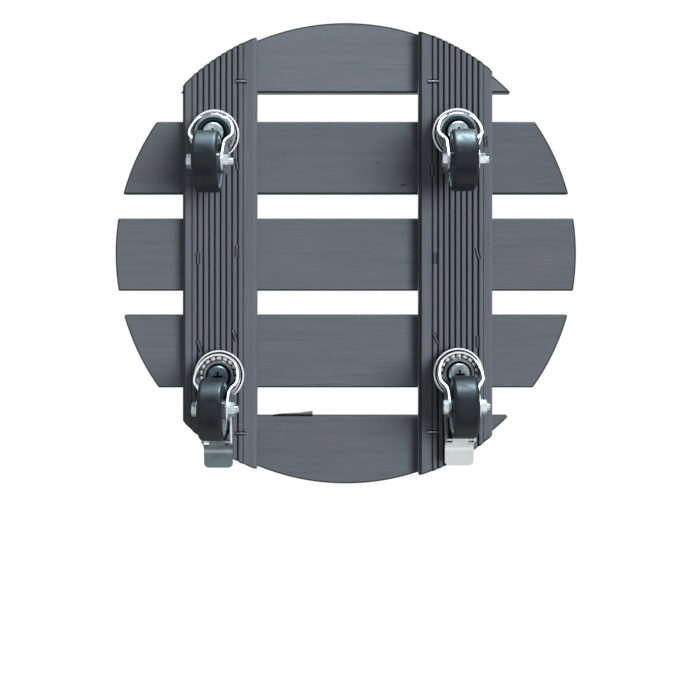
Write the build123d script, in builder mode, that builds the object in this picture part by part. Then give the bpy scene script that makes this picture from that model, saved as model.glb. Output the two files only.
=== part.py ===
from build123d import *
from math import cos, hypot, radians, sin
import os

# Round slatted plant caddy on four bolt-hole swivel casters, two of them with a brake pedal.
# Millimetres. The origin is on the floor under the deck's centre, with +Z up. The slats run along Y
# and the battens under them along X. At rest every wheel trails towards -X, where the pedals point.

# Deck
deck_diameter = 400.0
board_width = 63.0
board_thickness = 15.5  # to the crests of the ridges
inner_gap = 21.1  # beside the centre slat
outer_gap = 25.2  # beside the outer slats
slat_shift = -1.2  # the slats lie a little off the deck's centre line
ridge_count = 9
ridge_pitch = 4.9
ridge_foot = 4.2
ridge_land = 1.2  # flat crest of a ridge
ridge_height = 1.7
ridge_shift = 1.5  # the ridges lie a little off the board's centre line
ribbed_chamfer = 2.6
smooth_chamfer = 1.4
batten_spacing = 202.0
batten_shift = -7.0  # both battens sit off the deck's centre line
caster_spacing = 202.0  # along a batten

# Staples
staple_crown = 10.5
staple_wire = 1.3
staple_proud = 0.5
staple_leg = 21.0

# Caster, overall
wheel_diameter = 50.0
wheel_width = 20.0
head_room = 20.0  # from the top of the wheel to the batten
plain_trail = 26.5
braked_trail = 22.5
sheet = 1.4
leg_clearance = 1.3  # between the tyre's side and a fork leg

# Swivel head
head_radius = 18.5
head_ring_height = 1.6
head_corner = 1.3
swivel_gap = 0.4
cup_height = 8.0
cup_sheet = 1.2
cup_overhang = 2.5
cup_flare = 4.0
ball_diameter = 4.5
ball_count = 18
ball_clearance = 0.08
race_wall_gap = 0.25
upper_race_step = 0.7
neck_length = 11.0
kingpin_diameter = 14.4
kingpin_flange = 1.4
kingpin_collar = 1.3
kingpin_clearance = 1.6
retainer_sheet = 1.5
retainer_lip = 1.3
retainer_bead = 0.6
retainer_gap = 0.3

# Mounting screw
screw_diameter = 8.0
screw_length = 38.0
screw_head_diameter = 18.0
screw_head_height = 3.4
recess_width = 1.8
recess_span = 8.0
recess_depth = 2.0
screw_clearance = 0.3
pilot_room = 1.0  # beyond the screw's point

# Fork
boss_radius = 7.8
plain_rake = 47.0
braked_rake = 52.5
plain_back_drop = 5.4  # from the head's ring down to the leg's rear corner
plain_lip_drop = 2.4
braked_lip_drop = 4.0
leg_top_drop = 2.4
arm_length = 56.2  # from the swivel axis to the arm's tip
arm_tip_drop = 8.7  # from the head's ring down to the top of the tip
arm_tip_height = 4.2
arm_tip_slant = 2.3
arm_fall = 1.7  # of the arm's lower edge towards the leg
arm_top_drop = 0.8
arm_belly = 3.0  # from the ring down to the arm's upper edge at two thirds of its length
braked_boss_depth = 6.9
boss_corner = 4.0
arm_corner = 9.0

# Wheel
tyre_height = 3.3
tyre_round = 3.2
rim_height = 3.2
rim_recess = 0.8
hub_radius = 8.0
hub_dish = 1.0
hub_end_play = 0.5

# Axle
bolt_diameter = 6.0
hex_flats = 10.0
bolt_head_height = 4.0
nut_height = 5.2
bolt_beyond_nut = 3.0
sleeve_diameter = 8.0
running_clearance = 0.05
hex_chamfer = 0.8

# Brake
pin_diameter = 2.4
pin_inset = 2.8  # from the arm's tip
pin_drop = 2.1
knuckle_wall = 1.05
knuckle_width = 12.8
pedal_width = 24.0
pedal_sheet = 1.0
pedal_reach = 20.8  # from the arm's tip outwards
pedal_lift = 8.4  # outer edge above the pin
pedal_bend = (-6.8, 6.4)  # from the pin
pedal_root = (-4.0, 3.0)
pedal_corner = 4.0
toe_run = 17.2  # from the pin inwards to the fold
toe_rise = 9.2
toe_back = 13.5
toe_gap = 1.8
shoe_width = 19.0
shoe_sheet = 0.9
shoe_drop = 12.9  # from the pin down to the tongue's tip
shoe_gap = 3.7  # from the tread to the tongue's tip
shoe_hook = 2.6  # the tongue's tip bends back by this much
shoe_hook_height = 6.0
shoe_span = (0.36, 0.85)  # share of the toe's length that the blade lies under
spring_width = 14.0
spring_sheet = 1.0
spring_end = 34.0  # from the swivel axis
spring_lip = 2.0

# Heights
wheel_radius = wheel_diameter / 2
axle_z = wheel_radius
caster_height = wheel_diameter + head_room
slat_z = caster_height + board_thickness
ring_top_z = caster_height - cup_height - swivel_gap
ring_z = ring_top_z - head_ring_height
ball_radius = ball_diameter / 2
crown_top_z = caster_height - cup_sheet - ball_diameter - 2 * ball_clearance
crown_z = crown_top_z - sheet
upper_ball_z = crown_top_z + ball_clearance + ball_radius
lower_ball_z = crown_z - ball_clearance - ball_radius
race_floor_z = lower_ball_z - ball_radius - swivel_gap
retainer_z = lower_ball_z - ball_radius - retainer_sheet + ball_clearance
kingpin_z = retainer_z - kingpin_flange
screw_head_z = kingpin_z - screw_head_height

# Radii and widths
deck_radius = deck_diameter / 2
inner_pitch = board_width + inner_gap
outer_pitch = board_width + outer_gap
leg_gap = wheel_width + 2 * leg_clearance
leg_width = leg_gap + 2 * sheet
wall_inner = head_radius - sheet
cup_rim_radius = head_radius + cup_overhang
cup_top_radius = cup_rim_radius - cup_flare
lower_race_radius = wall_inner - ball_radius - race_wall_gap
upper_race_radius = lower_race_radius - upper_race_step
kingpin_radius = kingpin_diameter / 2
retainer_radius = lower_race_radius - retainer_lip
rim_radius = wheel_radius - tyre_height
disc_radius = rim_radius - rim_height
sleeve_radius = sleeve_diameter / 2
bolt_radius = bolt_diameter / 2
screw_radius = screw_diameter / 2
pin_radius = pin_diameter / 2

# Places
batten_y = {
    "front": batten_shift - batten_spacing / 2,
    "rear": batten_shift + batten_spacing / 2,
}
caster_x = caster_spacing / 2
caster_shift = {  # fitted by hand, each a little off its place on the batten
    "front_left": (-1.8, 1.3),
    "rear_left": (0.1, 1.0),
    "front_right": (-0.8, -2.9),
    "rear_right": (0.3, 0.2),
}
casters = {
    name: (
        (-caster_x if name.endswith("left") else caster_x) + along,
        batten_y[name.split("_")[0]] + across,
    )
    for name, (along, across) in caster_shift.items()
}
braked = ("front_left", "rear_left")
slat_x = [
    slat_shift - inner_pitch - outer_pitch,
    slat_shift - inner_pitch,
    slat_shift,
    slat_shift + inner_pitch,
    slat_shift + inner_pitch + outer_pitch,
]

# Staples of each batten, one line per slat from -X to +X: distance across and along from the
# crossing's centre, turn in degrees
staple_list = {
    "front": [
        [(17.7, 20, 90)],
        [(13.2, 15, -20), (-16.7, 6, -20)],
        [(-18, -3, 0), (15.2, 3, 0)],
        [(15.2, -6.5, -10), (-18, 1.5, 0)],
        [(18.4, -24.5, 90)],
    ],
    "rear": [
        [(-20.3, 21, 90)],
        [(-17.4, 13, -25), (18.4, 10, 0)],
        [(-18.2, -3, 0), (18.4, 1, -15)],
        [(-20.3, -12.5, 0), (25.2, 12.5, -5)],
        [(-19.6, -24.5, 90)],
    ],
}

os.makedirs("parts", exist_ok=True)


def save(part, name):
    part.label = name
    export_step(part, f"parts/{name}.step")


def side_plane(x, y, z=0.0):
    """Vertical plane along X through a point: local x is +X, local y is +Z."""
    return Plane(origin=(x, y, z), x_dir=(1, 0, 0), z_dir=(0, -1, 0))


def board_outline(shift):
    """Closed outline of a board's end, smooth face at 0, ridge crests at board_thickness."""
    half = board_width / 2
    face = board_thickness - ridge_height
    Line((-half + smooth_chamfer, 0), (half - smooth_chamfer, 0))
    Line((half - smooth_chamfer, 0), (half, smooth_chamfer))
    Line((half, smooth_chamfer), (half, face - ribbed_chamfer))
    at = Line((half, face - ribbed_chamfer), (half - ribbed_chamfer, face)) @ 1
    for n in reversed(range(ridge_count)):
        crest = shift + ridge_pitch * (n - (ridge_count - 1) / 2)
        foot = Line(at, (crest + ridge_foot / 2, face)) @ 1
        land = (crest + ridge_land / 2, board_thickness)
        TangentArc(land, foot, tangent=(1, 0))
        top = Line(land, (crest - ridge_land / 2, board_thickness)) @ 1
        at = TangentArc(top, (crest - ridge_foot / 2, face), tangent=(-1, 0)) @ 1
    Line(at, (-half + ribbed_chamfer, face))
    Line((-half + ribbed_chamfer, face), (-half, face - ribbed_chamfer))
    Line((-half, face - ribbed_chamfer), (-half, smooth_chamfer))
    Line((-half, smooth_chamfer), (-half + smooth_chamfer, 0))


# Slats: boards along Y, ribbed face up
for n, x in enumerate(slat_x):
    with BuildPart() as slat:
        with BuildSketch(side_plane(x, 0, slat_z)):
            with BuildLine():
                board_outline(-ridge_shift)
            make_face()
        extrude(amount=deck_radius, both=True)
        with BuildSketch(Plane.XY.offset(slat_z)):
            Circle(deck_radius)
        extrude(amount=board_thickness, mode=Mode.INTERSECT)
        with BuildSketch(Plane.XY.offset(slat_z)):
            with Locations(*casters.values()):
                Circle(screw_radius)
        extrude(amount=kingpin_z + screw_length + pilot_room - slat_z, mode=Mode.SUBTRACT)
    save(slat.part, f"slat_{n + 1}")

# Battens: the same boards along X, ribbed face down
for side, y in batten_y.items():
    with BuildPart() as batten:
        with BuildSketch(Plane(origin=(0, y, slat_z), x_dir=(0, 1, 0), z_dir=(-1, 0, 0))):
            with BuildLine():
                board_outline(ridge_shift if side == "rear" else -ridge_shift)
            make_face()
        extrude(amount=deck_radius, both=True)
        with BuildSketch(Plane.XY.offset(caster_height)):
            Circle(deck_radius)
        extrude(amount=board_thickness, mode=Mode.INTERSECT)
        with BuildSketch(Plane.XY.offset(caster_height)):
            with Locations(*casters.values()):
                Circle(screw_radius)
        extrude(amount=board_thickness, mode=Mode.SUBTRACT)
    save(batten.part, f"batten_{side}")

# Staples: a crown on the batten's ridges, or beside them, and two legs driven up into the slat
ridge_edge = ridge_pitch * (ridge_count - 1) / 2
with BuildPart() as staples:
    for side, rows in staple_list.items():
        for x, row in zip(slat_x, rows):
            for across, along, turn in row:
                beside = turn < 90 and abs(across) > ridge_edge
                level = caster_height + (ridge_height if beside else 0)
                place = (x + along, batten_y[side] + across, level)
                with Locations(Location(place, (0, 0, turn))):
                    Box(staple_crown, staple_wire, 2 * staple_proud)
                    with Locations((0, 0, staple_leg / 2)):
                        with GridLocations(staple_crown - staple_wire, 0, 2, 1):
                            Box(staple_wire, staple_wire, staple_leg)
save(staples.part, "staples")

# Mounting screws: domed heads with a cross recess, points up in the slats
with BuildPart() as screws:
    with BuildSketch(Plane.XY.offset(screw_head_z)):
        with Locations(*casters.values()):
            Circle(screw_head_diameter / 2)
    extrude(amount=screw_head_height)
    fillet(screws.faces().sort_by(Axis.Z)[:4].edges(), radius=screw_head_height / 2)
    with BuildSketch(Plane.XY.offset(kingpin_z)):
        with Locations(*casters.values()):
            Circle(screw_radius)
    extrude(amount=screw_length)
    chamfer(screws.faces().sort_by(Axis.Z)[-4:].edges(), length=screw_radius / 2)
    with BuildSketch(Plane.XY.offset(screw_head_z)):
        with Locations(*casters.values()):
            Rectangle(recess_span, recess_width)
            Rectangle(recess_width, recess_span)
    extrude(amount=recess_depth, mode=Mode.SUBTRACT)
save(screws.part, "mounting_screws")

# Kingpins: hollow rivets from the flange under the retainer to the top of the cup
kingpin_bore = screw_radius + screw_clearance
ceiling_z = caster_height - cup_sheet
flange_radius = kingpin_radius + kingpin_clearance
with BuildPart() as kingpins:
    for x, y in casters.values():
        with BuildSketch(side_plane(x, y)):
            Polygon(
                (kingpin_bore, kingpin_z),
                (flange_radius, kingpin_z),
                (flange_radius, retainer_z),
                (kingpin_radius, retainer_z),
                (kingpin_radius, ceiling_z - kingpin_collar),
                (kingpin_radius + kingpin_collar, ceiling_z - kingpin_collar),
                (kingpin_radius + kingpin_collar, ceiling_z),
                (kingpin_radius, ceiling_z),
                (kingpin_radius, caster_height),
                (kingpin_bore, caster_height),
                align=None,
            )
        revolve(axis=Axis((x, y, 0), (0, 0, 1)))
save(kingpins.part, "kingpins")

# Ball races, one above and one below each fork head
with BuildPart() as lower_balls:
    for x, y in casters.values():
        with Locations((x, y, lower_ball_z)):
            with PolarLocations(lower_race_radius, ball_count):
                Sphere(ball_radius)
save(lower_balls.part, "lower_balls")

with BuildPart() as upper_balls:
    for x, y in casters.values():
        with Locations((x, y, upper_ball_z)):
            with PolarLocations(upper_race_radius, ball_count - 1):
                Sphere(ball_radius)
save(upper_balls.part, "upper_balls")


def plain_leg_outline():
    """Side view of a plain fork, from the swivel axis: round boss, raked front, straight back."""
    rake = radians(plain_rake)
    touch_x = -plain_trail + boss_radius * sin(rake)
    touch_z = axle_z - boss_radius * cos(rake)
    lip_z = ring_z - plain_lip_drop
    back = -plain_trail - boss_radius
    front = head_radius + sheet
    Polyline(
        (touch_x, touch_z),
        (touch_x + (lip_z - touch_z) * cos(rake) / sin(rake), lip_z),
        (front, lip_z),
        (front, ring_z + head_ring_height / 2),
        (-neck_length, ring_z + head_ring_height / 2),
        (-neck_length - sheet, ring_z - leg_top_drop),
        (back, ring_z - plain_back_drop),
        (back, axle_z),
    )
    CenterArc((-plain_trail, axle_z), boss_radius, 180, 90 + plain_rake)


def braked_leg_outline():
    """Side view of a braked fork: the legs run back over the wheel as arms for the pedal."""
    rake = radians(braked_rake)
    touch_x = -braked_trail + boss_radius * sin(rake)
    touch_z = axle_z - boss_radius * cos(rake)
    slope = cos(rake) / sin(rake)
    lip_z = ring_z - braked_lip_drop
    sole_z = axle_z - braked_boss_depth
    back = -braked_trail - boss_radius
    front = head_radius + sheet
    tip_top = (-arm_length, arm_tip_z)
    tip_low = (-arm_length + arm_tip_slant, arm_tip_z - arm_tip_height)
    arm_top = (-neck_length - 4 * sheet, ring_z - arm_top_drop)
    FilletPolyline(
        tip_low,
        (back, tip_low[1] - arm_fall),
        (back, sole_z),
        (touch_x + (sole_z - touch_z) * slope, sole_z),
        (touch_x + (lip_z - touch_z) * slope, lip_z),
        radius=[arm_corner, boss_corner, boss_corner],
    )
    Polyline(
        (touch_x + (lip_z - touch_z) * slope, lip_z),
        (front, lip_z),
        (front, ring_z + head_ring_height / 2),
        (-neck_length, ring_z + head_ring_height / 2),
        arm_top,
    )
    ThreePointArc(arm_top, (-arm_length * 2 / 3, ring_z - arm_belly), tip_top)
    Line(tip_top, tip_low)


# Brake pivot, and the line of the pedal's inner arm, both from the pin
arm_tip_z = ring_z - arm_tip_drop
pin_x = -arm_length + pin_inset
pin_z = arm_tip_z - pin_drop
knuckle_radius = pin_radius + running_clearance + knuckle_wall
toe_start = Vector(0, knuckle_radius - knuckle_wall / 4)
toe_fold = Vector(toe_run, toe_rise)
toe_under = (toe_fold - toe_start).normalized().rotate(Axis.Z, -90)

for name, (x, y) in casters.items():
    side = side_plane(x, y)
    swivel = Axis((x, y, 0), (0, 0, 1))
    is_braked = name in braked
    trail = braked_trail if is_braked else plain_trail
    axle_x = x - trail
    axle = Axis((axle_x, y, axle_z), (0, 1, 0))

    # Cup: pressed housing that flares from the batten down over the fork head
    cup_bore = kingpin_radius + running_clearance
    cup_inner = cup_rim_radius - cup_sheet * hypot(cup_flare, cup_height) / cup_height
    cup_step = cup_flare / cup_height * (cup_height - cup_sheet)
    with BuildPart() as cup:
        with BuildSketch(side):
            Polygon(
                (cup_bore, ceiling_z),
                (cup_inner - cup_step, ceiling_z),
                (cup_inner, caster_height - cup_height),
                (cup_rim_radius, caster_height - cup_height),
                (cup_top_radius, caster_height),
                (cup_bore, caster_height),
                align=None,
            )
        revolve(axis=swivel)
    save(cup.part, f"{name}_cup")

    # Retainer: dish that holds the lower balls, wider and closed on the plain casters
    outer = wall_inner - retainer_gap
    retainer_top = retainer_z + retainer_sheet
    with BuildPart() as retainer:
        with BuildSketch(side):
            if is_braked:
                Polygon(
                    (cup_bore, retainer_z),
                    (retainer_radius - retainer_sheet / 2, retainer_z),
                    (retainer_radius, retainer_z + retainer_sheet / 2),
                    (retainer_radius, retainer_top),
                    (cup_bore, retainer_top),
                    align=None,
                )
            else:
                Polygon(
                    (cup_bore, retainer_z),
                    (retainer_radius, retainer_z),
                    (retainer_radius + retainer_bead, retainer_z - retainer_bead),
                    (outer - retainer_bead, retainer_z - retainer_bead),
                    (outer, retainer_z),
                    (outer, retainer_z + retainer_bead),
                    (retainer_radius + retainer_bead, retainer_top - retainer_bead / 2),
                    (retainer_radius, retainer_top),
                    (cup_bore, retainer_top),
                    align=None,
                )
        revolve(axis=swivel)
    save(retainer.part, f"{name}_retainer")

    # Fork: one bent strip, round at the front and necked to two parallel legs, under a round head.
    # Its wall keeps to the head's circle as far down as the bearing reaches.
    bearing_floor = race_floor_z if is_braked else retainer_z - retainer_bead - swivel_gap
    reach = arm_length if is_braked else trail + boss_radius
    tail = -reach - 2 * sheet
    with BuildPart() as fork:
        with BuildSketch(Plane((x, y, 0))):
            with BuildLine():
                CenterArc((0, 0), head_radius, -90, 180)
                for hand in (1, -1):
                    middle = (-neck_length / 2, hand * (head_radius + leg_width / 2) / 2)
                    neck_end = (-neck_length, hand * leg_width / 2)
                    bend = TangentArc((0, hand * head_radius), middle, tangent=(-1, 0))
                    TangentArc(middle, neck_end, tangent=bend % 1)
                    Line(neck_end, (tail, hand * leg_width / 2))
                Line((tail, leg_width / 2), (tail, -leg_width / 2))
            make_face()
            offset(amount=-sheet, mode=Mode.SUBTRACT)
        extrude(amount=ring_top_z)
        with BuildSketch(side):
            with BuildLine():
                if is_braked:
                    braked_leg_outline()
                else:
                    plain_leg_outline()
            make_face()
        extrude(amount=head_radius + sheet, both=True, mode=Mode.INTERSECT)
        with BuildSketch(Plane((x, y, bearing_floor))):
            Circle(wall_inner)
        extrude(amount=ring_top_z - bearing_floor, mode=Mode.SUBTRACT)
        with BuildSketch(Plane((x, y, bearing_floor))):
            with Locations((-neck_length / 2, 0)):
                Rectangle(neck_length, 2 * head_radius)
            Circle(head_radius, mode=Mode.INTERSECT)
            Circle(wall_inner, mode=Mode.SUBTRACT)
        extrude(amount=ring_top_z - bearing_floor)
        with BuildSketch(side):
            Polygon(
                (flange_radius, crown_z),
                (wall_inner, crown_z),
                (wall_inner, ring_z),
                (head_radius, ring_z),
                (head_radius, ring_top_z),
                (head_radius - head_corner, crown_top_z),
                (flange_radius, crown_top_z),
                align=None,
            )
        revolve(axis=swivel)
        with Locations(side_plane(axle_x, y, axle_z)):
            Hole(bolt_radius + running_clearance)
        if is_braked:
            with Locations(side_plane(x + pin_x, y, pin_z)):
                Hole(pin_radius)
    save(fork.part, f"{name}_fork")

    # Wheel: tyre, light rim ring and dark dished hub, moulded on each other
    section = Plane(origin=(axle_x, y, axle_z), x_dir=(0, 1, 0), z_dir=(1, 0, 0))
    with BuildPart() as tyre:
        with BuildSketch(section) as tread:
            with Locations((0, wheel_radius - tyre_height / 2)):
                Rectangle(wheel_width, tyre_height)
            fillet(tread.vertices().group_by(Axis.Y)[-1], radius=tyre_round)
        revolve(axis=axle)
    save(tyre.part, f"{name}_tyre")

    rim_width = wheel_width - 2 * rim_recess
    with BuildPart() as rim:
        with BuildSketch(section) as ring:
            with Locations((0, rim_radius - rim_height / 2)):
                Rectangle(rim_width, rim_height)
            chamfer(ring.vertices(), length=rim_recess / 2)
        revolve(axis=axle)
    save(rim.part, f"{name}_rim")

    hub_end = leg_gap / 2 - hub_end_play
    disc_edge = rim_width / 2 - rim_recess / 2
    hub_bore = sleeve_radius + running_clearance
    hub_side = [
        (disc_edge, disc_radius),
        (disc_edge - hub_dish, hub_radius),
        (hub_end, hub_radius),
        (hub_end, hub_bore),
    ]
    with BuildPart() as hub:
        with BuildSketch(section):
            Polygon(*hub_side, *[(-a, r) for a, r in reversed(hub_side)], align=None)
        revolve(axis=axle)
    save(hub.part, f"{name}_hub")

    # Axle: bolt with its head towards -Y, spacer sleeve between the legs, nut on the far side
    with BuildPart() as sleeve:
        with BuildSketch(side_plane(axle_x, y, axle_z)):
            Circle(sleeve_radius)
            Circle(bolt_radius + running_clearance, mode=Mode.SUBTRACT)
        extrude(amount=leg_gap / 2, both=True)
    save(sleeve.part, f"{name}_axle_sleeve")

    head_plane = side_plane(axle_x, y - leg_width / 2, axle_z)
    chamfer_slope = 3 ** 0.5
    with BuildPart() as bolt:
        with BuildSketch(head_plane):
            RegularPolygon(hex_flats / 2, 6, major_radius=False)
        extrude(amount=bolt_head_height)
        with Locations(head_plane):
            Cone(
                hex_flats / 2 + bolt_head_height * chamfer_slope,
                hex_flats / 2,
                bolt_head_height,
                align=(Align.CENTER, Align.CENTER, Align.MIN),
                mode=Mode.INTERSECT,
            )
        with BuildSketch(head_plane):
            Circle(bolt_radius)
        extrude(amount=-leg_width - nut_height - bolt_beyond_nut)
        chamfer(bolt.faces().sort_by(Axis.Y)[-1].edges(), length=hex_chamfer)
    save(bolt.part, f"{name}_axle_bolt")

    nut_plane = Plane(origin=(axle_x, y + leg_width / 2, axle_z), x_dir=(1, 0, 0), z_dir=(0, 1, 0))
    with BuildPart() as nut:
        with BuildSketch(nut_plane):
            RegularPolygon(hex_flats / 2, 6, major_radius=False)
        extrude(amount=nut_height)
        with Locations(nut_plane):
            Cone(
                hex_flats / 2 + nut_height * chamfer_slope,
                hex_flats / 2,
                nut_height,
                align=(Align.CENTER, Align.CENTER, Align.MIN),
                mode=Mode.INTERSECT,
            )
        with Locations(nut_plane):
            Hole(bolt_radius + running_clearance)
    save(nut.part, f"{name}_axle_nut")

    if not is_braked:
        continue

    # Pedal: foot plate, knuckle round the pin and an inner toe that folds back to release it
    pivot = side_plane(x + pin_x, y, pin_z)
    plate_tip = (-pin_inset - pedal_reach, pedal_lift)
    with BuildPart() as pedal:
        with BuildSketch(pivot):
            with BuildLine():
                FilletPolyline(plate_tip, pedal_bend, pedal_root, radius=2 * pedal_sheet)
                offset(amount=pedal_sheet, side=Side.LEFT)
            make_face()
        extrude(amount=pedal_width / 2, both=True)
        with BuildSketch(Plane((x + pin_x, y, pin_z))) as plan:
            with Locations((plate_tip[0] / 2, 0)):
                Rectangle(-plate_tip[0], pedal_width)
            fillet(plan.vertices().group_by(Axis.X)[0], radius=pedal_corner)
        extrude(amount=pedal_lift + pedal_sheet, both=True, mode=Mode.INTERSECT)
        with BuildSketch(pivot):
            with BuildLine():
                FilletPolyline(
                    toe_start,
                    toe_fold,
                    (toe_run - toe_back, toe_rise + toe_gap),
                    radius=pedal_sheet / 2,
                )
                offset(amount=pedal_sheet, side=Side.RIGHT)
            make_face()
            with BuildLine():
                FilletPolyline(pedal_bend, pedal_root, (0, 0), radius=pedal_sheet)
                offset(amount=pedal_sheet, side=Side.LEFT)
            make_face()
            Circle(knuckle_radius)
            Circle(pin_radius + running_clearance, mode=Mode.SUBTRACT)
        extrude(amount=knuckle_width / 2, both=True)
    save(pedal.part, f"{name}_pedal")

    # Shoe: dark blade under the toe whose tongue hangs behind the tread
    tip_z = pin_z - shoe_drop
    tread_x = -trail - ((wheel_radius + shoe_gap) ** 2 - (tip_z - axle_z) ** 2) ** 0.5
    tip = (tread_x - pin_x, -shoe_drop)
    under = toe_under * (pedal_sheet + shoe_sheet)
    with BuildPart() as shoe:
        with BuildSketch(pivot):
            with BuildLine():
                FilletPolyline(
                    toe_start + (toe_fold - toe_start) * shoe_span[1] + under,
                    toe_start + (toe_fold - toe_start) * shoe_span[0] + under,
                    (tip[0] + shoe_hook, tip[1] + shoe_hook_height),
                    tip,
                    radius=[shoe_sheet, shoe_hook_height],
                )
                offset(amount=shoe_sheet, side=Side.RIGHT)
            make_face()
        extrude(amount=shoe_width / 2, both=True)
    save(shoe.part, f"{name}_brake_shoe")

    # Spring: dark leaf under the head's rear edge that ends over the pedal's toe
    with BuildPart() as spring:
        with BuildSketch(side):
            with BuildLine():
                FilletPolyline(
                    (-neck_length, ring_z),
                    (-spring_end, ring_z),
                    (-spring_end - spring_lip / 2, ring_z - spring_lip),
                    radius=spring_sheet / 2,
                )
                offset(amount=spring_sheet, side=Side.LEFT)
            make_face()
        extrude(amount=spring_width / 2, both=True)
        with BuildSketch(Plane((x, y, ring_z))):
            Circle(wall_inner + running_clearance)
        extrude(amount=-2 * spring_lip, mode=Mode.SUBTRACT)
    save(spring.part, f"{name}_pedal_spring")

    with BuildPart() as pin:
        with BuildSketch(pivot):
            Circle(pin_radius)
        extrude(amount=leg_width / 2, both=True)
    save(pin.part, f"{name}_pedal_pin")
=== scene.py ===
import bpy
import math
from mathutils import Matrix, Vector


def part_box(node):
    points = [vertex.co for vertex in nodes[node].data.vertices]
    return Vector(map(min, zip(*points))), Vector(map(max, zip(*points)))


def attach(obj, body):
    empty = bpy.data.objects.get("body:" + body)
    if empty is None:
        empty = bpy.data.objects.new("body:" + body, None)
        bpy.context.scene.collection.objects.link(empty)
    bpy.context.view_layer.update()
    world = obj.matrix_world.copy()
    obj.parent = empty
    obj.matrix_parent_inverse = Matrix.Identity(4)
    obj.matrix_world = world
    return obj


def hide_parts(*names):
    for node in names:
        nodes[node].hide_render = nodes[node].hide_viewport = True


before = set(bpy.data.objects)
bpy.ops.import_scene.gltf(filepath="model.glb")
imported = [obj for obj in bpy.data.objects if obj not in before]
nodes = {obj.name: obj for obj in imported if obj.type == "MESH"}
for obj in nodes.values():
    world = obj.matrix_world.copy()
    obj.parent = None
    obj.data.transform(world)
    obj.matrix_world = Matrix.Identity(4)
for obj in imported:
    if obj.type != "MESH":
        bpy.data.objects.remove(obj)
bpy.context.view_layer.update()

# Sizes of the CAD model, in metres
DECK_R = 0.2
FACE_DEPTH = 0.0017  # of the grooves between the ridges
RIBBED_HALF = 0.0222  # from the middle ridge to the foot of the last one
RIDGE_SHIFT = 0.0015  # of the middle ridge from the middle of its board
SLAT_X = (-0.1735, -0.0853, -0.0012, 0.0829, 0.1711)
HEAD_R = 0.0185  # of a fork's head, whose inner edges get a weaker painted highlight
HEAD_LOW = 0.0585  # and the height from which they do
CASTERS = ("front_left", "rear_left", "front_right", "rear_right")
BRAKED = ("front_left", "rear_left")


def middle(node):
    low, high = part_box(node)
    return Vector([(a + b) / 2 for a, b in zip(low, high)])


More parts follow.
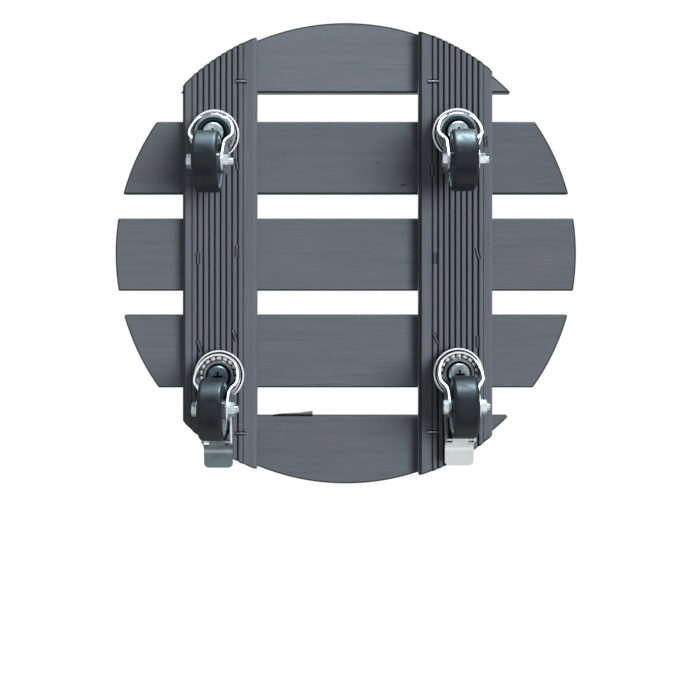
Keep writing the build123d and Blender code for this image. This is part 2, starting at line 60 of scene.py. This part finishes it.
# Shader helpers
class Shader:
    """A material's node tree with short calls for the nodes used here."""

    def __init__(self, name, colour=(0.5, 0.5, 0.5), metallic=0.0, roughness=0.5, **more):
        self.mat = bpy.data.materials.new(name)
        self.mat.use_nodes = True
        self.tree = self.mat.node_tree
        self.bsdf = self.tree.nodes["Principled BSDF"]
        self.set("Base Color", (*colour, 1.0))
        self.set("Metallic", metallic)
        self.set("Roughness", roughness)
        for key, value in more.items():
            self.set(key.replace("_", " "), value)
        where = self.node("ShaderNodeTexCoord")
        self.place = where.outputs["Object"]
        self.normal = where.outputs["Normal"]
        self.place_z = self.split(self.place)[2]

    def set(self, socket, value):
        self.bsdf.inputs[socket].default_value = value

    def node(self, kind, **props):
        made = self.tree.nodes.new(kind)
        for key, value in props.items():
            setattr(made, key, value)
        return made

    def link(self, source, target):
        self.tree.links.new(source, target)

    def feed(self, value, socket):
        if isinstance(value, bpy.types.NodeSocket):
            self.link(value, socket)
        else:
            socket.default_value = value

    def math(self, operation, a, b=0.0):
        made = self.node("ShaderNodeMath", operation=operation)
        for value, socket in zip((a, b), made.inputs):
            self.feed(value, socket)
        return made.outputs[0]

    def times(self, *values):
        made = values[0]
        for value in values[1:]:
            made = self.math("MULTIPLY", made, value)
        return made

    def most(self, values):
        made = values[0]
        for value in values[1:]:
            made = self.math("MAXIMUM", made, value)
        return made

    def split(self, vector):
        made = self.node("ShaderNodeSeparateXYZ")
        self.link(vector, made.inputs[0])
        return made.outputs

    def stretch(self, vector, scale, move=(0, 0, 0), turn=0.0):
        made = self.node("ShaderNodeMapping")
        self.link(vector, made.inputs["Vector"])
        made.inputs["Scale"].default_value = scale
        made.inputs["Location"].default_value = move
        made.inputs["Rotation"].default_value = (0, 0, turn)
        return made.outputs[0]

    def noise(self, vector, scale, detail=2.0, rough=0.5, bend=0.0):
        made = self.node("ShaderNodeTexNoise")
        self.link(vector, made.inputs["Vector"])
        made.inputs["Scale"].default_value = scale
        made.inputs["Detail"].default_value = detail
        made.inputs["Roughness"].default_value = rough
        made.inputs["Distortion"].default_value = bend
        return made.outputs["Fac"]

    def span(self, value, low, high, to_low=0.0, to_high=1.0, smooth=True):
        made = self.node("ShaderNodeMapRange", interpolation_type="SMOOTHSTEP" if smooth else "LINEAR")
        self.feed(value, made.inputs["Value"])
        for key, number in (("From Min", low), ("From Max", high), ("To Min", to_low), ("To Max", to_high)):
            made.inputs[key].default_value = number
        return made.outputs[0]

    def ramp(self, value, *stops):
        made = self.node("ShaderNodeValToRGB")
        self.link(value, made.inputs[0])
        marks = made.color_ramp.elements
        while len(marks) < len(stops):
            marks.new(0.5)
        for mark, (at, colour) in zip(marks, stops):
            mark.position = at
            mark.color = (*colour, 1.0)
        return made.outputs[0]

    def mix(self, share, a, b, how="MIX"):
        """Two colours mixed; the node has its colours in inputs 6 and 7 and in output 2."""
        made = self.node("ShaderNodeMix", data_type="RGBA", blend_type=how)
        self.feed(share, made.inputs[0])
        for value, socket in ((a, made.inputs[6]), (b, made.inputs[7])):
            self.feed(value if isinstance(value, bpy.types.NodeSocket) else (*value, 1.0), socket)
        return made.outputs[2]

    def radius(self, x, y):
        """Distance from the vertical line through a place."""
        px, py, _ = self.split(self.place)
        dx = self.math("SUBTRACT", px, x)
        dy = self.math("SUBTRACT", py, y)
        return self.math("SQRT", self.math("ADD", self.times(dx, dx), self.times(dy, dy)))

    def colour(self, source):
        self.link(source, self.bsdf.inputs["Base Color"])

    def rough(self, source):
        self.link(source, self.bsdf.inputs["Roughness"])

    def bump(self, height, distance, strength=1.0):
        made = self.node("ShaderNodeBump")
        self.link(height, made.inputs["Height"])
        made.inputs["Distance"].default_value = distance
        made.inputs["Strength"].default_value = strength
        last = self.bsdf.inputs["Normal"].links
        if last:
            self.link(last[0].from_socket, made.inputs["Normal"])
        self.link(made.outputs[0], self.bsdf.inputs["Normal"])


def srgb(r, g, b):
    """Linear colour of a picture's 0 to 255 values."""
    return tuple(((v / 255 + 0.055) / 1.055) ** 2.4 if v > 10 else v / 255 / 12.92 for v in (r, g, b))


def dress(node, shader):
    obj = nodes[node]
    obj.data.materials.clear()
    obj.data.materials.append(shader.mat)


# Staples: rounded wires, set where the CAD staples are
def staple_places():
    """Middle, direction and lowest height of each staple, from the corners of the CAD node."""
    groups = []
    for vertex in nodes["staples"].data.vertices:
        at = vertex.co
        for group in groups:
            if (group[0].xy - at.xy).length < STAPLE_REACH:
                group.append(at)
                break
        else:
            groups.append([at])
    places = []
    for group in groups:
        centre = sum((p.xy for p in group), Vector((0, 0))) / len(group)
        xx = sum((p.x - centre.x) ** 2 for p in group)
        yy = sum((p.y - centre.y) ** 2 for p in group)
        xy = sum((p.x - centre.x) * (p.y - centre.y) for p in group)
        places.append((centre, 0.5 * math.atan2(2 * xy, xx - yy), min(p.z for p in group)))
    return places


STAPLE_REACH = 0.012  # corners nearer than this belong to one staple
STAPLE_HALF = 0.0046  # from the staple's middle to where its wire turns down
STAPLE_BEND = 0.0009  # radius of that turn
STAPLE_LEG = 0.0045  # how far each leg goes into the wood
WIRE_R = 0.00062
staple_spots = staple_places()


def staple_wires():
    curve = bpy.data.curves.new("staple_wires", "CURVE")
    curve.dimensions = "3D"
    curve.bevel_depth = WIRE_R
    curve.bevel_resolution = 3
    angles = [math.radians(15 * k) for k in range(7)]
    for centre, turn, low in staple_spots:
        points = []
        for hand in (-1, 1):
            corner = [(hand * (STAPLE_HALF - STAPLE_BEND + STAPLE_BEND * math.sin(a)),
                       STAPLE_BEND - STAPLE_BEND * math.cos(a)) for a in angles]
            corner.append((hand * STAPLE_HALF, STAPLE_LEG))
            points += corner[::-1] if hand < 0 else corner
        line = curve.splines.new("POLY")
        line.points.add(len(points) - 1)
        for point, (run, rise) in zip(line.points, points):
            x, y = centre.x + run * math.cos(turn), centre.y + run * math.sin(turn)
            point.co = (x, y, low + WIRE_R + rise, 1)
        line.use_smooth = True
    obj = bpy.data.objects.new("staple_wires", curve)
    bpy.context.scene.collection.objects.link(obj)
    return obj


# Stained wood
WOOD_DARK, WOOD_MID, WOOD_LIGHT = (99, 105, 113), (106, 112, 121), (111, 118, 127)
GROOVE_BAND = 0.0016  # heights this near a groove's foot belong to the ridged face
CUT_SKIN = 0.0004  # the round saw cut lies within this of the deck's radius
ARRIS = (0.0017, 0.0007)  # the dark line beside the cut, inwards from the deck's radius
SLIT_WIDE, SLIT_LONG = (0.0023, 0.0017), (0.0053, 0.0044)  # half sizes of the painted shade beside a staple, soft edge first


def toned(colour, tone):
    return srgb(*(v * tone for v in colour))


def planed_face(s, along, seed, tone):
    """Blue-grey stain, streaked along the grain. Gives its colour and its fibre and streak noises."""
    lengthwise, loose = ((1, 0.03, 1), (1, 0.22, 1)) if along == "Y" else ((0.03, 1, 1), (0.22, 1, 1))
    grain = s.stretch(s.place, lengthwise, (seed * 0.37, seed * 0.61, seed * 0.13))
    fibre = s.noise(grain, 1500, 3, 0.65)
    streak = s.noise(grain, 240, 3, 0.6, 0.6)
    broad = s.noise(s.stretch(s.place, loose, (seed, seed, 0)), 24, 2)
    level = s.math("ADD", s.times(streak, 0.6), s.times(broad, 0.4))
    base = s.ramp(level, (0.32, toned(WOOD_DARK, tone)), (0.5, toned(WOOD_MID, tone)),
                  (0.7, toned(WOOD_LIGHT, tone)))
    patch = s.noise(s.stretch(s.place, (1, 1, 1), (seed * 2, 0, seed)), 45, 2)
    base = s.mix(s.span(patch, 0.5, 0.7, 0, 0.35), base, toned((112, 110, 124), tone))
    base = s.mix(s.span(patch, 0.48, 0.3, 0, 0.4), base, toned((100, 111, 112), tone))
    line = s.span(s.noise(grain, 620, 2, 0.5, 1.2), 0.66, 0.74)
    base = s.mix(s.times(line, 0.4), base, srgb(74, 79, 86))
    speck = s.span(s.noise(s.stretch(s.place, loose, (0, seed, seed)), 210, 1), 0.76, 0.82)
    base = s.mix(s.times(speck, 0.8), base, srgb(40, 42, 46))
    fine = s.span(fibre, 0.3, 0.7, 0.88, 1.1, smooth=False)
    base = s.mix(1.0, base, s.ramp(fine, (0.0, (0, 0, 0)), (1.0, (1, 1, 1))), "MULTIPLY")
    return base, fibre, streak


def cut_face(s, seed):
    """Pale wood of the round saw cut, with pores and rows of cracks. Gives its colour and its kerf noise."""
    kerf = s.noise(s.stretch(s.place, (0.25, 0.25, 1), (seed, 0, 0)), 900, 3, 0.7)
    pores = s.noise(s.stretch(s.place, (1, 1, 1), (0, 0, seed)), 900, 2, 0.6)
    raw = s.mix(s.span(kerf, 0.3, 0.7), srgb(146, 149, 150), srgb(178, 182, 184))
    raw = s.mix(s.times(s.span(pores, 0.64, 0.74), 0.45), raw, srgb(84, 86, 88))
    crack = s.span(s.noise(s.stretch(s.place, (1, 1, 0.1), (seed, seed, 0)), 520, 2, 0.6, 0.5), 0.6, 0.66)
    rows = s.span(s.noise(s.stretch(s.place, (1, 1, 1), (0, seed, 0)), 70, 2), 0.45, 0.6)
    return s.mix(s.times(crack, rows, 0.9), raw, srgb(40, 41, 44)), kerf


def staple_pocket_shade(s):
    """Painted shade of the pressed pocket beside each staple, as a slit-shaped patch broken up by noise."""
    pocket_shades = []
    for centre, turn, _ in staple_spots:
        near = s.stretch(s.place, (1, 1, 1), (-centre.x, -centre.y, 0))
        run, across, _ = s.split(s.stretch(near, (1, 1, 0), (0, 0, 0), -turn))
        beside = s.span(s.math("ABSOLUTE", across), *SLIT_WIDE)
        within = s.span(s.math("ABSOLUTE", run), *SLIT_LONG)
        pocket_shades.append(s.times(beside, within))
    # noise breaks up the painted shade beside the staples
    ragged = s.span(s.noise(s.place, 700, 2), 0.34, 0.5, 0.55, 1.0)
    return s.times(s.most(pocket_shades), ragged)


def wood(name, along, seed, tone, groove, ridges_at):
    """Stained softwood with its grain along one axis and its middle ridge at one place across it."""
    s = Shader(name, roughness=0.66, Specular_IOR_Level=0.2)
    x, y, z = s.split(s.place)
    nx, ny, nz = s.split(s.normal)
    level = s.math("ABSOLUTE", nz)
    base, fibre, streak = planed_face(s, along, seed, tone)

    # Sawn sides, a little paler
    side = s.mix(s.span(fibre, 0.3, 0.7), srgb(110, 116, 124), srgb(132, 138, 147))
    base = s.mix(s.times(s.span(level, 0.5, 0.2), 0.85), base, side)

    # Grooves: darker towards the foot, painted shade of the grooves along with stain and dust
    crest, foot = groove
    near_foot = s.math("LESS_THAN", s.math("ABSOLUTE", s.math("SUBTRACT", z, foot)), GROOVE_BAND)
    depth = s.times(s.span(z, crest, foot), near_foot)
    off = s.math("ABSOLUTE", s.math("SUBTRACT", x if along == "Y" else y, ridges_at))
    # painted shade and stain in the grooves, only on the ridged face
    groove_shade_and_stain = s.times(depth, s.math("LESS_THAN", off, RIBBED_HALF))
    base = s.mix(s.times(groove_shade_and_stain, 0.96), base, srgb(21, 20, 19))

    # The round saw cut, and the dark arris beside it
    from_middle = s.radius(0, 0)
    cut = s.math("GREATER_THAN", from_middle, DECK_R - CUT_SKIN)
    raw, kerf = cut_face(s, seed)
    base = s.mix(cut, base, raw)
    arris = s.times(s.span(from_middle, DECK_R - ARRIS[0], DECK_R - ARRIS[1]), s.span(level, 0.5, 0.8))
    base = s.mix(s.times(arris, 0.85), base, srgb(38, 40, 43))

    # The battens hold the staples, with painted shade in the pressed pocket beside each; chamfers of all
    # boards get painted shade on the side turned from the light
    if along == "X":
        base = s.mix(s.times(staple_pocket_shade(s), 0.85), base, srgb(20, 21, 23))
    shaded = s.span(nx if along == "Y" else ny, -0.35, -0.6)
    chamfer = s.times(s.math("LESS_THAN", nz, -0.25), s.math("SUBTRACT", 1, cut))
    s.colour(s.mix(s.times(shaded, chamfer, 0.8), base, srgb(30, 31, 33)))
    s.rough(s.span(fibre, 0.3, 0.7, 0.58, 0.74))
    s.bump(fibre, 0.00016, 0.6)
    s.bump(streak, 0.0004, 0.3)
    s.bump(s.times(cut, kerf), 0.0005, 0.7)
    return s


SLAT_TONES = (0.97, 1.0, 1.0, 0.96, 1.08)
slat_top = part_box("slat_3")[1][2]
slat_groove = (slat_top - 0.0007, slat_top - FACE_DEPTH)  # from where the dark begins to its foot
for number, (slat_x, tone) in enumerate(zip(SLAT_X, SLAT_TONES), 1):
    dress(f"slat_{number}",
          wood(f"slat_wood_{number}", "Y", number, tone, slat_groove, slat_x - RIDGE_SHIFT))
batten_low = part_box("batten_front")[0][2]
batten_groove = (batten_low + 0.0003, batten_low + 0.0013)
for seed, side, shift in ((7, "front", -RIDGE_SHIFT), (8, "rear", RIDGE_SHIFT)):
    dress(f"batten_{side}", wood(f"batten_wood_{side}", "X", seed, 1.0, batten_groove,
                                 middle(f"batten_{side}").y + shift))

# Wire
wire = Shader("staple_wire", srgb(122, 126, 131), 0.5, 0.45)
wire.rough(wire.span(wire.noise(wire.place, 1800, 2), 0.3, 0.7, 0.3, 0.5))
wires = staple_wires()
wires.data.materials.append(wire.mat)
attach(wires, "deck")
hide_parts("staples")


# A splinter torn up along the inner edge of the first slat
SPLINTER_START, SPLINTER_LENGTH = -0.0635, 0.0345  # along Y
SPLINTER_ROOT = -0.1424  # X, inside the slat
SPLINTER_EDGE, SPLINTER_LIFT = -0.1410, 0.0032  # X of its free edge, and how far that moves out
SPLINTER_LOW, SPLINTER_TOP = 0.0884, 0.0905
SPLINTER_STEPS = 8


def splinter():
    """Thin sliver of wood, still joined at one end."""
    corners, faces = [], []
    for k in range(SPLINTER_STEPS + 1):
        t = k / SPLINTER_STEPS
        along = SPLINTER_START + SPLINTER_LENGTH * t
        out = SPLINTER_EDGE + SPLINTER_LIFT * t + 0.0003 * math.sin(7 * t)
        low = SPLINTER_LOW - 0.0006 * t
        corners += [(x, along, z) for x, z in ((SPLINTER_ROOT, low), (out, low), (out, SPLINTER_TOP),
                                               (SPLINTER_ROOT, SPLINTER_TOP))]
        if k:
            a, b = 4 * (k - 1), 4 * k
            faces += [(a + i, a + (i + 1) % 4, b + (i + 1) % 4, b + i) for i in range(4)]
    last = 4 * SPLINTER_STEPS
    faces += [(3, 2, 1, 0), (last, last + 1, last + 2, last + 3)]
    mesh = bpy.data.meshes.new("splinter")
    mesh.from_pydata(corners, [], faces)
    obj = bpy.data.objects.new("splinter", mesh)
    bpy.context.scene.collection.objects.link(obj)
    return obj


def torn_shade():
    """Fresh strands, with painted black shade where the sliver leaves the slat and at its joined end."""
    s = Shader("torn_wood", srgb(70, 64, 62), 0.0, 0.8)
    strands = s.noise(s.stretch(s.place, (1, 0.05, 1)), 1500, 3)
    fresh = s.mix(s.span(strands, 0.35, 0.65), srgb(112, 106, 104), srgb(160, 152, 144))
    x, y, _ = s.split(s.place)
    # painted shade in the crack under the sliver and at its joined end
    crack_shade = s.most([s.span(x, -0.1396, -0.1404), s.span(y, -0.0595, -0.0615)])
    s.colour(s.mix(crack_shade, fresh, srgb(16, 16, 17)))
    s.bump(strands, 0.0002, 0.6)
    return s


sliver = splinter()
sliver.data.materials.append(torn_shade().mat)
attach(sliver, "deck")


# Metal
BRAKED_DISH_SHADE = (0.0112, 0.0102)  # radii: a braked caster's dish turns to painted black shade here
PLAIN_DISH_SHADE = (0.0144, 0.0138)  # a plain caster's dish turns dark here, painted shade along with oxide
PLAIN_DISH_DEEP_SHADE = (0.0118, 0.0108)  # and nearly black with painted shade here
RECESS_R = 0.0044  # of the cross recess in a screw's head
FOLD_NEAR, FOLD_FAR = (0.0116, 0.0138), (0.0166, 0.0142)  # where the fold's painted highlight lies, from the pedal's tip


def plated(name, dull, bright, roughness, grain=700, **more):
    """Zinc plating with mottled spangle. Its colour is left in .metal, to be worked into the base colour."""
    s = Shader(name, bright, 1.0, roughness, **more)
    spangle = s.noise(s.place, grain, 3, 0.7)
    cloud = s.noise(s.place, 110, 2)
    mottle = s.math("ADD", s.times(spangle, 0.5), s.times(cloud, 0.5))
    s.metal = s.mix(s.span(mottle, 0.36, 0.62), dull, bright)
    s.rough(s.span(spangle, 0.3, 0.7, roughness * 0.85, roughness * 1.3))
    s.bump(spangle, 0.00003, 0.3)
    return s


def fork_zinc(caster):
    """The sheet's sheared edges, the faces turned down, get a painted highlight; the ceiling over the balls
    gets painted shade of its hollow, along with grease. In a braked caster the edges of the far arm, on one
    side, get painted shade."""
    s = plated(f"{caster}_fork_zinc", srgb(168, 171, 173), srgb(226, 228, 228), 0.34)
    centre = middle(f"{caster}_cup")
    dish_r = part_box(f"{caster}_retainer")[1][0] - centre.x
    ring = s.radius(centre.x, centre.y)
    nz = s.split(s.normal)[2]
    # faces turned down, the sheared edges, get a painted highlight, weaker inside the head
    edge = s.span(nz, -0.25, -0.5)
    in_head = s.span(ring, HEAD_R - 0.0002, HEAD_R - 0.0010)
    inner = s.times(in_head, s.span(s.place_z, HEAD_LOW - 0.002, HEAD_LOW - 0.001))
    base = s.mix(edge, s.metal, s.mix(inner, srgb(252, 253, 253), srgb(172, 178, 181)))
    # painted shade of the recess over the balls, along with grease
    ceiling = s.times(s.span(ring, dish_r + 0.0042, 0.0155), s.span(nz, -0.9, -0.97))
    base = s.mix(ceiling, base, srgb(22, 23, 24))
    if caster in BRAKED:
        x, y, _ = s.split(s.place)
        one_side = s.math("LESS_THAN", y, centre.y)
        # painted shade on the far arm's edges, on one side of the wheel
        far_arm_shade = s.times(s.span(x, centre.x - 0.022, centre.x - 0.025), one_side)
        base = s.mix(s.times(far_arm_shade, edge, 0.85), base, srgb(26, 29, 31))
    s.colour(base)
    s.link(s.span(edge, 0, 1, 1.0, 0.4), s.bsdf.inputs["Metallic"])
    return s


def dish_zinc(caster):
    """Plain casters have a closed dish: silver rim, then a dark blue-green hollow, nearly black round the
    rivet, painted shade of the hollow along with oxide. In a braked one it is greyer, with painted black shade
    at the middle."""
    s = plated(f"{caster}_dish_zinc", srgb(120, 126, 128), srgb(196, 199, 200), 0.3)
    centre = middle(f"{caster}_retainer")
    ring = s.radius(centre.x, centre.y)
    if caster in BRAKED:
        # painted black shade at the middle of a braked caster's dish
        grey = s.mix(0.5, s.metal, srgb(96, 100, 100))
        base = s.mix(s.span(ring, *BRAKED_DISH_SHADE), grey, srgb(12, 13, 14))
    else:
        # painted shade of a plain caster's dish, along with oxide
        hollow = s.mix(s.span(ring, *PLAIN_DISH_DEEP_SHADE), srgb(48, 68, 70), srgb(10, 12, 13))
        base = s.mix(s.span(ring, *PLAIN_DISH_SHADE), s.metal, hollow)
    s.colour(base)
    return s


def cup_zinc(caster):
    """A dark pressing with a bright lower rim: the dark is painted shade and dark reflection of its place
    under the deck, the rim a painted highlight. In a plain caster its slope towards +X gets a painted
    highlight too.
    """
    # both zinc colours here are dark: painted shade and dark reflection on the cup
    s = plated(f"{caster}_cup_zinc", srgb(26, 29, 33), srgb(56, 62, 67), 0.24, 420)
    nz = s.split(s.normal)[2]
    # faces turned down, the lower rim, get a painted highlight
    rim = s.span(nz, -0.6, -0.9)
    if caster not in BRAKED:
        centre_x = middle(f"{caster}_cup").x
        towards_x = s.span(s.split(s.place)[0], centre_x + 0.006, centre_x + 0.013)
        lit = s.times(s.span(nz, -0.15, -0.35), towards_x)
        rim = s.most([rim, s.times(lit, 0.75)])
    s.colour(s.mix(rim, s.metal, srgb(250, 251, 251)))
    s.link(s.span(rim, 0, 1, 1.0, 0.5), s.bsdf.inputs["Metallic"])
    return s


def hardware_zinc(name, dull, bright, thread=False):
    """Bolts, nuts, pins and rivets; a bolt's thread is fine rings along it."""
    s = plated(name, dull, bright, 0.2, 160)
    s.set("Metallic", 0.85)
    s.colour(s.metal)
    if thread:
        s.bump(s.math("PINGPONG", s.split(s.place)[1], 0.0005), 0.0009, 0.9)
    return s


def screw_shade():
    """Bright heads; the front left one is darker, slate blue. The cross recess gets painted shade inside."""
    s = plated("screw_zinc", srgb(80, 100, 112), srgb(120, 140, 151), 0.34, 300)
    slate = middle("front_left_cup")
    silver = s.mix(s.span(s.noise(s.place, 260, 3, 0.6), 0.4, 0.6), srgb(168, 184, 185), srgb(218, 228, 229))
    s.metal = s.mix(s.math("GREATER_THAN", s.radius(slate.x, slate.y), 0.02), s.metal, silver)
    heads = [s.radius(middle(f"{c}_cup").x, middle(f"{c}_cup").y) for c in CASTERS]
    central = s.most([s.math("LESS_THAN", r, RECESS_R) for r in heads])
    head_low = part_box("mounting_screws")[0][2]
    sunk = s.span(s.place_z, head_low + 0.0001, head_low + 0.0005)
    # painted shade inside the cross recess
    s.colour(s.mix(s.times(central, sunk), s.metal, srgb(12, 20, 26)))
    return s


hardware = hardware_zinc("zinc_hardware", srgb(190, 204, 205), srgb(238, 246, 246))
threaded = hardware_zinc("zinc_thread", srgb(182, 197, 198), srgb(236, 244, 244), thread=True)
screw_zinc = screw_shade()
# The kingpins sit in the shade inside the dish: their near-black is painted shade on zinc.
rivet_in_shade = hardware_zinc("rivet_zinc", srgb(18, 19, 20), srgb(34, 36, 38))


def pedal_shade(caster, dull, bright, fold_highlight):
    """Painted highlight along the fold across the tread, and painted light again towards the tip."""
    s = plated(f"{caster}_pedal_zinc", dull, bright, 0.28, 200)
    s.set("Metallic", 0.35)
    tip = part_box(f"{caster}_pedal")[0][0]
    run = s.math("SUBTRACT", s.split(s.place)[0], tip)
    # painted highlight on the fold and painted light towards the tip
    fold = s.times(s.span(run, *FOLD_NEAR), s.span(run, *FOLD_FAR))
    base = s.mix(s.span(run, 0.0125, 0.002, 0, 0.8), s.metal, bright)
    s.colour(s.mix(s.times(fold, 0.6), base, fold_highlight))
    return s


# The front left pedal gets dark zinc and the rear left one pale zinc: painted shade and painted light on one
# material.
pedal_zinc = {
    "front_left": pedal_shade("front_left", srgb(84, 98, 104), srgb(114, 129, 135), srgb(190, 200, 198)),
    "rear_left": pedal_shade("rear_left", srgb(216, 224, 222), srgb(226, 232, 231), srgb(250, 252, 252)),
}
steel = Shader("ball_steel", srgb(250, 251, 252), 0.5, 0.12)
steel.rough(steel.span(steel.noise(steel.place, 900, 2), 0.3, 0.7, 0.07, 0.2))
dark_steel = plated("dark_spring", srgb(14, 14, 15), srgb(34, 34, 36), 0.42)
dark_steel.colour(dark_steel.metal)


# Wheels
def tyre_rubber(caster):
    """Dark rubber with a fine mould line round the middle and dusty scuffs."""
    centre = middle(f"{caster}_tyre")
    s = Shader(f"{caster}_rubber", srgb(28, 30, 34), 0.0, 0.42, Specular_IOR_Level=0.4)
    dust = s.noise(s.place, 160, 4, 0.6)
    grit = s.noise(s.place, 1400, 2)
    across = s.split(s.place)[1]
    seam = s.span(s.math("ABSOLUTE", s.math("SUBTRACT", across, centre.y + 0.0006)), 0.0005, 0.0001)
    base = s.mix(s.span(dust, 0.45, 0.75), srgb(20, 26, 31), srgb(33, 40, 46))
    base = s.mix(s.times(s.span(grit, 0.68, 0.75), 0.2), base, srgb(70, 74, 80))
    s.colour(s.mix(s.times(seam, 0.3), base, srgb(14, 15, 17)))
    s.rough(s.span(dust, 0.35, 0.7, 0.4, 0.56))
    s.bump(grit, 0.00004, 0.4)
    return s


def rim_shade():
    """Light blue-grey plastic, a little stained."""
    s = Shader("rim_plastic", srgb(168, 184, 192), 0.0, 0.4)
    stain = s.noise(s.place, 240, 3, 0.6)
    s.colour(s.mix(s.span(stain, 0.4, 0.72), srgb(176, 192, 200), srgb(146, 163, 172)))
    s.rough(s.span(stain, 0.3, 0.7, 0.32, 0.5))
    s.bump(stain, 0.0001, 0.4)
    return s


def hub_shade():
    """Dark slate plastic with a soft gloss."""
    s = Shader("hub_plastic", srgb(56, 70, 75), 0.0, 0.22, Coat_Weight=0.35, Coat_Roughness=0.12)
    stain = s.noise(s.place, 90, 3, 0.6)
    s.colour(s.mix(s.span(stain, 0.35, 0.7), srgb(48, 60, 64), srgb(78, 98, 106)))
    s.rough(s.span(stain, 0.3, 0.7, 0.18, 0.32))
    return s


rim_plastic = rim_shade()
hub_plastic = hub_shade()
for c in CASTERS:
    for piece, shader in (("cup", cup_zinc(c)), ("retainer", dish_zinc(c)), ("fork", fork_zinc(c)),
                          ("axle_sleeve", hardware), ("axle_bolt", threaded), ("axle_nut", hardware),
                          ("tyre", tyre_rubber(c)), ("rim", rim_plastic), ("hub", hub_plastic)):
        dress(f"{c}_{piece}", shader)
for c in BRAKED:
    for piece, shader in (("pedal", pedal_zinc[c]), ("pedal_pin", hardware), ("brake_shoe", dark_steel),
                          ("pedal_spring", dark_steel)):
        dress(f"{c}_{piece}", shader)
for node, shader in (("mounting_screws", screw_zinc), ("kingpins", rivet_in_shade), ("upper_balls", steel),
                     ("lower_balls", steel)):
    dress(node, shader)

# Camera: under the caddy, looking straight up, +X at the top of the picture
EYE_Z = -0.7145
camera = bpy.data.objects.new("camera", bpy.data.cameras.new("camera"))
bpy.context.scene.collection.objects.link(camera)
camera.location = (0, 0, EYE_Z)
camera.rotation_mode = "QUATERNION"
camera.rotation_quaternion = Matrix(((0, 1, 0), (1, 0, 0), (0, 0, -1))).to_quaternion()
camera.data.lens = 47.63
camera.data.shift_x = 0.0032
camera.data.shift_y = -0.1361
camera.data.clip_start = -EYE_Z - 0.0002
bpy.context.scene.camera = camera

# Floor: the wheels stand on it; a camera under it starts to see just above it
bpy.ops.mesh.primitive_plane_add(size=8, location=(0, 0, -0.0004))
floor = bpy.context.object
floor.name = "floor"
floor.data.materials.append(Shader("floor_white", (0.86, 0.86, 0.86), 0.0, 0.9).mat)
floor.visible_shadow = False
floor.visible_diffuse = False
floor.visible_glossy = False
floor.visible_transmission = False


# Light
def area(name, place, aim, size, power, colour=(1, 1, 1)):
    """A square lamp that the camera doesn't see."""
    lamp = bpy.data.lights.new(name, "AREA")
    lamp.shape = "SQUARE"
    lamp.size = size
    lamp.energy = power
    lamp.color = colour
    obj = bpy.data.objects.new(name, lamp)
    bpy.context.scene.collection.objects.link(obj)
    obj.location = place
    obj.rotation_euler = (Vector(aim) - Vector(place)).to_track_quat("-Z", "Y").to_euler()
    obj.visible_camera = False
    return obj


def sun(name, source, strength, spread):
    """Even light from one direction, left out of reflections."""
    lamp = bpy.data.lights.new(name, "SUN")
    lamp.energy = strength
    lamp.angle = math.radians(spread)
    obj = bpy.data.objects.new(name, lamp)
    bpy.context.scene.collection.objects.link(obj)
    obj.rotation_euler = (-Vector(source)).to_track_quat("-Z", "Y").to_euler()
    obj.visible_glossy = False


sun("key_below", (0.07, 0.51, -0.86), 2.72, 31)
sheen = area("sheen_right", (1.1, 0.1, -0.02), (0, 0, 0.03), 0.5, 44, (0.62, 0.86, 1.0))
sheen.visible_diffuse = False
sun("key_above", (-0.5, -0.6, 1.0), 2.9, 24)
sun("fill_side", (-0.25, -1.0, 0.12), 1.5, 20)
area("rim_above", (1.2, 0.8, 1.1), (0, 0, 0.06), 0.8, 10)


# Heights of the pale and dark bands, 0 for straight down and 1 for straight up, with their brightness
BANDS = ((0.0, 0.85), (0.04, 0.8), (0.1, 0.12), (0.2, 0.04), (0.28, 0.5), (0.36, 0.8), (0.44, 0.6),
         (0.5, 1.0), (0.6, 0.3), (1.0, 0.25))


def studio():
    """White for the camera, even and dim for light, and for reflections a room of pale and dark bands."""
    world = bpy.data.worlds.new("studio")
    world.use_nodes = True
    bpy.context.scene.world = world
    tree = world.node_tree
    rays = tree.nodes.new("ShaderNodeLightPath")
    even = tree.nodes["Background"]
    even.inputs[0].default_value = (1, 1, 1, 1)
    even.inputs[1].default_value = 0.2
    seen = tree.nodes.new("ShaderNodeBackground")
    seen.inputs[0].default_value = (1, 1, 1, 1)
    where = tree.nodes.new("ShaderNodeTexCoord")
    part = tree.nodes.new("ShaderNodeSeparateXYZ")
    tree.links.new(where.outputs["Generated"], part.inputs[0])
    height = tree.nodes.new("ShaderNodeMapRange")
    height.inputs["From Min"].default_value = -1
    tree.links.new(part.outputs["Z"], height.inputs["Value"])
    bands = tree.nodes.new("ShaderNodeValToRGB")
    marks = bands.color_ramp.elements
    while len(marks) < len(BANDS):
        marks.new(0.5)
    for mark, (at, level) in zip(marks, BANDS):
        mark.position = at
        mark.color = (level, level * 1.01, level * 1.03, 1)
    tree.links.new(height.outputs[0], bands.inputs[0])
    mirrored = tree.nodes.new("ShaderNodeBackground")
    tree.links.new(bands.outputs[0], mirrored.inputs[0])
    sideways = tree.nodes.new("ShaderNodeMapRange")
    for key, number in (("From Min", -0.22), ("From Max", 0.22), ("To Min", 0.9), ("To Max", 1.25)):
        sideways.inputs[key].default_value = number
    tree.links.new(part.outputs["Y"], sideways.inputs["Value"])
    tree.links.new(sideways.outputs[0], mirrored.inputs[1])
    gloss = tree.nodes.new("ShaderNodeMixShader")
    tree.links.new(rays.outputs["Is Glossy Ray"], gloss.inputs[0])
    tree.links.new(even.outputs[0], gloss.inputs[1])
    tree.links.new(mirrored.outputs[0], gloss.inputs[2])
    final = tree.nodes.new("ShaderNodeMixShader")
    tree.links.new(rays.outputs["Is Camera Ray"], final.inputs[0])
    tree.links.new(gloss.outputs[0], final.inputs[1])
    tree.links.new(seen.outputs[0], final.inputs[2])
    tree.links.new(final.outputs[0], tree.nodes["World Output"].inputs[0])


studio()
bpy.context.scene.view_settings.view_transform = "Standard"
